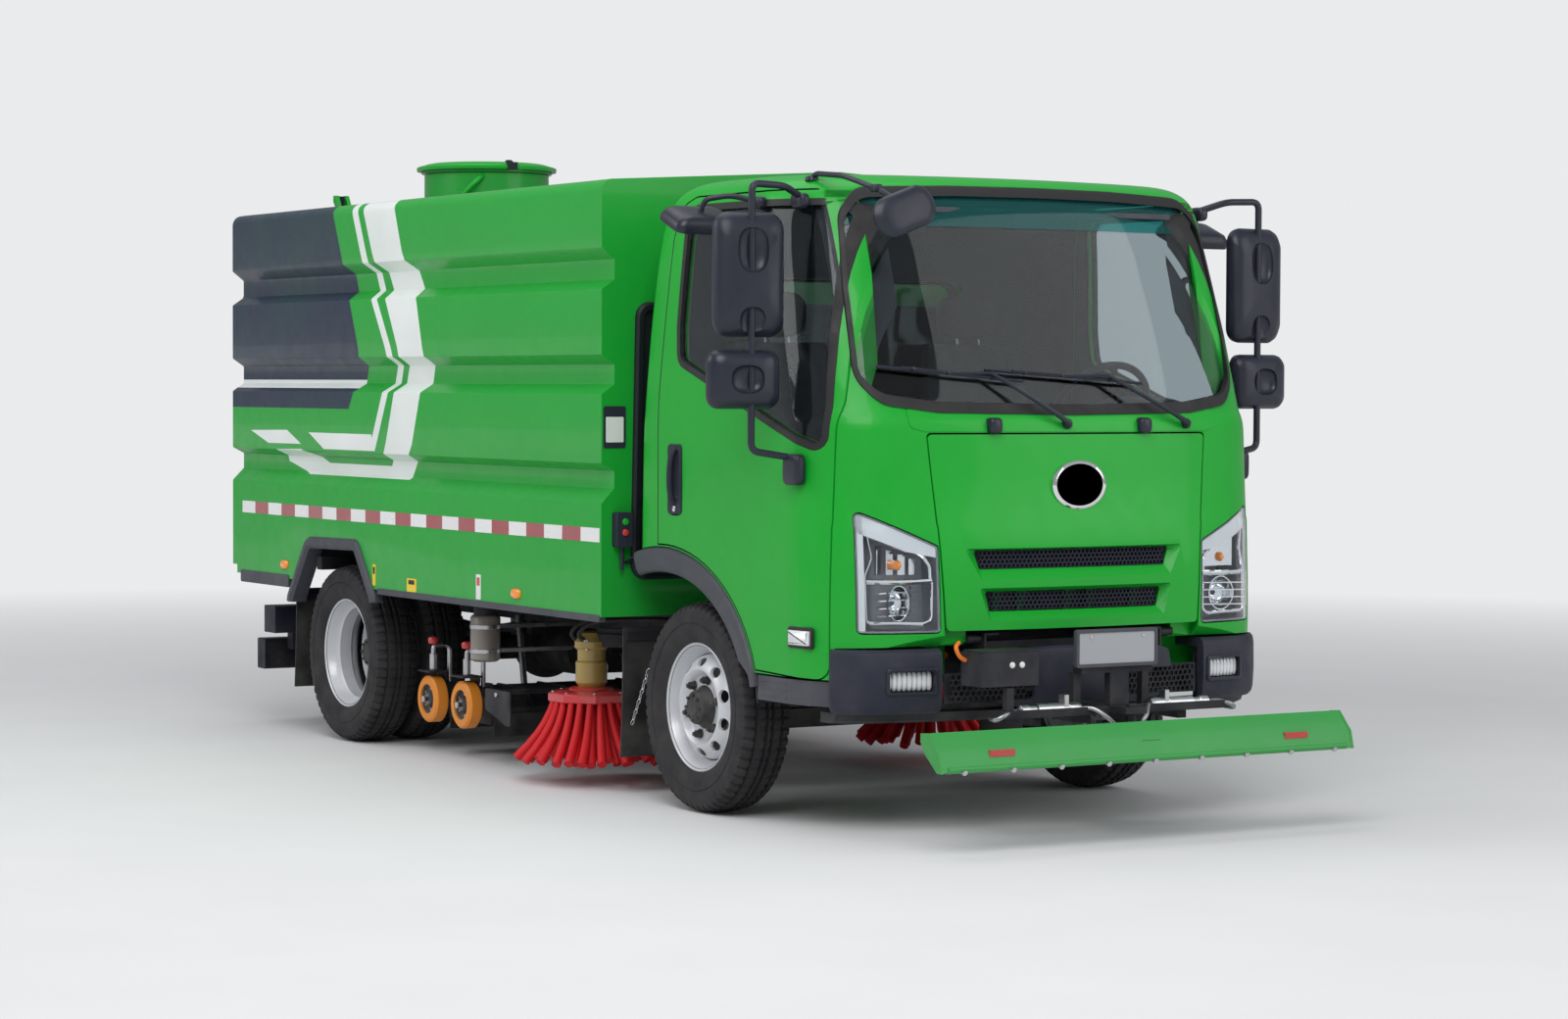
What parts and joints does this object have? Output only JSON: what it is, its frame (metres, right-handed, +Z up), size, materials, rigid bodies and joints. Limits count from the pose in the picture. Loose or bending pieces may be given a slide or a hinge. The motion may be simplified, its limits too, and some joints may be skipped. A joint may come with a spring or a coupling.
{
  "type": "street sweeper truck",
  "caption": "Light cab-over street sweeper truck with a tipping hopper, side brushes, a suction nozzle on casters and a front spray bar.",
  "frame": {"origin": "on the ground, at the middle of the overall length and width", "axes": "+X forward, +Y to the truck's left, +Z up"},
  "size_m": [5.66, 2.44, 2.5663],
  "materials": {
    "frame_black": "satin black paint",
    "battery_case": "grey powder coat",
    "dark_plastic": "fine grained",
    "bright_steel": "bright",
    "red_lens": "moulded lens",
    "green_paint": "gloss paint",
    "clear_glass": "clear",
    "clear_lens": "clear moulded lens",
    "seat_cloth": "woven",
    "cast_iron": "as cast, painted",
    "wheel_silver": "silver paint",
    "tyre_rubber": "matt",
    "dark_rubber": "matt",
    "orange_tread": "cast polyurethane",
    "yellow_paint": "gloss paint",
    "red_bristle": "drawn filament",
    "pale_green_paint": "gloss paint"
  },
  "bodies": {
    "chassis": {"chassis_frame": "frame_black", "front_axle": "frame_black", "rear_axle": "frame_black", "traction_battery": "battery_case", "front_bumper": "dark_plastic", "front_bracket": "frame_black", "spray_valves": "bright_steel", "rear_underrun": "frame_black", "tail_lamps": "red_lens", "suction_duct": "dark_rubber"},
    "cab": {"cab_shell": "green_paint", "cab_fenders": "dark_plastic", "cab_glass": "clear_glass", "headlamps": "clear_lens", "seats": "seat_cloth", "dashboard": "dark_plastic", "front_mirror": "dark_plastic"},
    "flap": {"front_flap": "green_paint"},
    "door_left": {"door_left": "green_paint", "door_glass_left": "clear_glass", "mirrors_left": "dark_plastic"},
    "door_right": {"door_right": "green_paint", "door_glass_right": "clear_glass", "mirrors_right": "dark_plastic"},
    "hopper": {"hopper_body": "green_paint"},
    "tailgate": {"tailgate": "green_paint"},
    "filler_lid": {"filler_lid": "green_paint"},
    "ram_barrel": {"tip_ram_barrel": "frame_black"},
    "ram_rod": {"tip_ram_rod": "bright_steel"},
    "knuckle_left": {"knuckle_left": "cast_iron"},
    "knuckle_right": {"knuckle_right": "cast_iron"},
    "tie_rod": {"tie_rod": "bright_steel"},
    "front_wheel_left": {"front_rim_left": "wheel_silver", "front_tyre_left": "tyre_rubber"},
    "front_wheel_right": {"front_rim_right": "wheel_silver", "front_tyre_right": "tyre_rubber"},
    "rear_wheels_left": {"rear_rims_left": "wheel_silver", "rear_tyres_left": "tyre_rubber"},
    "rear_wheels_right": {"rear_rims_right": "wheel_silver", "rear_tyres_right": "tyre_rubber"},
    "nozzle": {"suction_nozzle": "frame_black"},
    "caster_front_left": {"caster_front_left": "orange_tread"},
    "caster_front_right": {"caster_front_right": "orange_tread"},
    "caster_rear_left": {"caster_rear_left": "orange_tread"},
    "caster_rear_right": {"caster_rear_right": "orange_tread"},
    "brush_arm_left": {"brush_arm_left": "yellow_paint"},
    "brush_arm_right": {"brush_arm_right": "yellow_paint"},
    "brush_left": {"side_brush_left": "red_bristle"},
    "brush_right": {"side_brush_right": "red_bristle"},
    "spray_bar": {"spray_bar": "pale_green_paint"}
  },
  "joints": [
    {"name": "cab_tilt", "type": "hinge", "parent": "chassis", "child": "cab", "pos_m": [2.31, 0, 0.68], "axis": [0, 1, 0], "range_deg": [0, 45]},
    {"name": "flap_hinge", "type": "hinge", "parent": "cab", "child": "flap", "pos_m": [2.354, 0, 1.405], "axis": [0, -1, 0], "range_deg": [0, 55]},
    {"name": "door_left_hinge", "type": "hinge", "parent": "cab", "child": "door_left", "pos_m": [2.169, 0.941, 1.03], "axis": [0, 0, -1], "range_deg": [0, 70]},
    {"name": "door_right_hinge", "type": "hinge", "parent": "cab", "child": "door_right", "pos_m": [2.169, -0.941, 1.03], "axis": [0, 0, 1], "range_deg": [0, 70]},
    {"name": "hopper_tip", "type": "hinge", "parent": "chassis", "child": "hopper", "pos_m": [-2.62, 0, 0.745], "axis": [0, -1, 0], "range_deg": [0, 45]},
    {"name": "tailgate_hinge", "type": "hinge", "parent": "hopper", "child": "tailgate", "pos_m": [-2.772, 0, 2.406], "axis": [0, 1, 0], "range_deg": [0, 80]},
    {"name": "lid_hinge", "type": "hinge", "parent": "hopper", "child": "filler_lid", "pos_m": [-2.627, 0, 2.536], "axis": [0, -1, 0], "range_deg": [0, 100]},
    {"name": "ram_swing", "type": "hinge", "parent": "chassis", "child": "ram_barrel", "pos_m": [-1.19, -0.17, 0.5], "axis": [0, 1, 0], "range_deg": [0, 16]},
    {"name": "ram_slide", "type": "slide", "parent": "ram_barrel", "child": "ram_rod", "axis": [-0.9735, 0, 0.2288], "range_m": [0, 0.23]},
    {"name": "steer_left", "type": "hinge", "parent": "chassis", "child": "knuckle_left", "pos_m": [1.28, 0.69, 0.383], "axis": [0, 0, 1], "range_deg": [-35, 35]},
    {"name": "steer_right", "type": "hinge", "parent": "chassis", "child": "knuckle_right", "pos_m": [1.28, -0.69, 0.383], "axis": [0, 0, 1], "range_deg": [-35, 35]},
    {"name": "tie_rod_pivot", "type": "hinge", "parent": "knuckle_left", "child": "tie_rod", "pos_m": [1.13, 0.69, 0.31], "axis": [0, 0, 1], "range_deg": [-35, 35]},
    {"name": "front_wheel_left_spin", "type": "hinge", "parent": "knuckle_left", "child": "front_wheel_left", "pos_m": [1.28, 0.834, 0.383], "axis": [0, 1, 0], "continuous": true},
    {"name": "front_wheel_right_spin", "type": "hinge", "parent": "knuckle_right", "child": "front_wheel_right", "pos_m": [1.28, -0.834, 0.383], "axis": [0, 1, 0], "continuous": true},
    {"name": "rear_wheels_left_spin", "type": "hinge", "parent": "chassis", "child": "rear_wheels_left", "pos_m": [-1.69, 0.773, 0.383], "axis": [0, 1, 0], "continuous": true},
    {"name": "rear_wheels_right_spin", "type": "hinge", "parent": "chassis", "child": "rear_wheels_right", "pos_m": [-1.69, -0.773, 0.383], "axis": [0, 1, 0], "continuous": true},
    {"name": "nozzle_drop", "type": "slide", "parent": "chassis", "child": "nozzle", "axis": [0, 0, -1], "range_m": [0, 0.12]},
    {"name": "caster_front_left_spin", "type": "hinge", "parent": "nozzle", "child": "caster_front_left", "pos_m": [-0.73, 0.86, 0.23], "axis": [0, 1, 0], "continuous": true},
    {"name": "caster_front_right_spin", "type": "hinge", "parent": "nozzle", "child": "caster_front_right", "pos_m": [-0.73, -0.86, 0.23], "axis": [0, 1, 0], "continuous": true},
    {"name": "caster_rear_left_spin", "type": "hinge", "parent": "nozzle", "child": "caster_rear_left", "pos_m": [-1.05, 0.86, 0.23], "axis": [0, 1, 0], "continuous": true},
    {"name": "caster_rear_right_spin", "type": "hinge", "parent": "nozzle", "child": "caster_rear_right", "pos_m": [-1.05, -0.86, 0.23], "axis": [0, 1, 0], "continuous": true},
    {"name": "brush_left_swing", "type": "hinge", "parent": "chassis", "child": "brush_arm_left", "pos_m": [0.53, 0.56, 0.56], "axis": [0, 0, -1], "range_deg": [0, 30]},
    {"name": "brush_right_swing", "type": "hinge", "parent": "chassis", "child": "brush_arm_right", "pos_m": [0.53, -0.56, 0.56], "axis": [0, 0, 1], "range_deg": [0, 30]},
    {"name": "brush_left_spin", "type": "hinge", "parent": "brush_arm_left", "child": "brush_left", "pos_m": [0.23, 0.79, 0.34], "axis": [0, 0, 1], "continuous": true},
    {"name": "brush_right_spin", "type": "hinge", "parent": "brush_arm_right", "child": "brush_right", "pos_m": [0.23, -0.79, 0.34], "axis": [0, 0, 1], "continuous": true},
    {"name": "spray_bar_swing", "type": "hinge", "parent": "chassis", "child": "spray_bar", "pos_m": [2.67, 0, 0.33], "axis": [0, 0, 1], "range_deg": [-20, 20]}
  ],
  "couplings": [
    {"joint": "ram_swing", "follows": "hopper_tip", "ratio": 0.302},
    {"joint": "ram_slide", "follows": "hopper_tip", "m_per_rad": 0.244},
    {"joint": "steer_right", "follows": "steer_left", "ratio": 1},
    {"joint": "tie_rod_pivot", "follows": "steer_left", "ratio": -1}
  ]
}
